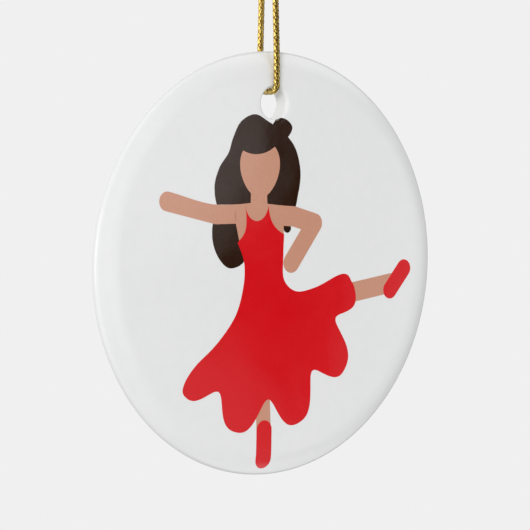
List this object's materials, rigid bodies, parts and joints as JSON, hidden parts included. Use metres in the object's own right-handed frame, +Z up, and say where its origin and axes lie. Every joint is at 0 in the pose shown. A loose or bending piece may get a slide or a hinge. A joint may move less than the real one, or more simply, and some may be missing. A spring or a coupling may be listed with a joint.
{
  "type": "round hanging ornament",
  "caption": "Round glazed porcelain hanging ornament with a pillowed rim and a printed faceless dancer in a red dress, hung by a knotted gold braided cord.",
  "frame": {"origin": "inside top of the cord's loop, just below the knot, where a hook or twig bears", "axes": "+Z up; -Y out of the printed front face; +X to the right as seen from the front"},
  "size_m": [0.073, 0.0056, 0.105],
  "materials": {
    "porcelain": "glossy white glaze",
    "red_print": "colour print under gloss",
    "brown_print": "colour print under gloss",
    "tan_print": "colour print under gloss",
    "gold_cord": "metallic gold braid"
  },
  "bodies": {
    "cord_top": {"cord_front_strand": "gold_cord", "cord_rear_strand": "gold_cord", "cord_knot": "gold_cord", "cord_tail_left": "gold_cord", "cord_tail_right": "gold_cord"},
    "cord_bend": {"cord_saddle": "gold_cord"},
    "disc": {"porcelain_disc": "porcelain", "print_hair": "brown_print", "print_top_knot": "brown_print", "print_back_lock": "brown_print", "print_side_lock": "brown_print", "print_face": "tan_print", "print_neck_and_chest": "tan_print", "print_raised_arm": "tan_print", "print_bent_arm": "tan_print", "print_dress": "red_print", "print_standing_leg": "tan_print", "print_kicking_leg": "tan_print", "print_standing_shoe": "red_print", "print_kicking_shoe": "red_print"}
  },
  "joints": [
    {"name": "cord_twist", "type": "hinge", "parent": "cord_top", "child": "cord_bend", "pos_m": [0, 0, 0], "axis": [0, 0, 1], "range_deg": [-180, 180], "deforming": ["cord_front_strand", "cord_rear_strand"]},
    {"name": "disc_rock", "type": "hinge", "parent": "cord_bend", "child": "disc", "pos_m": [0, 0, -0.0284], "axis": [0, 1, 0], "range_deg": [-60, 60]}
  ]
}
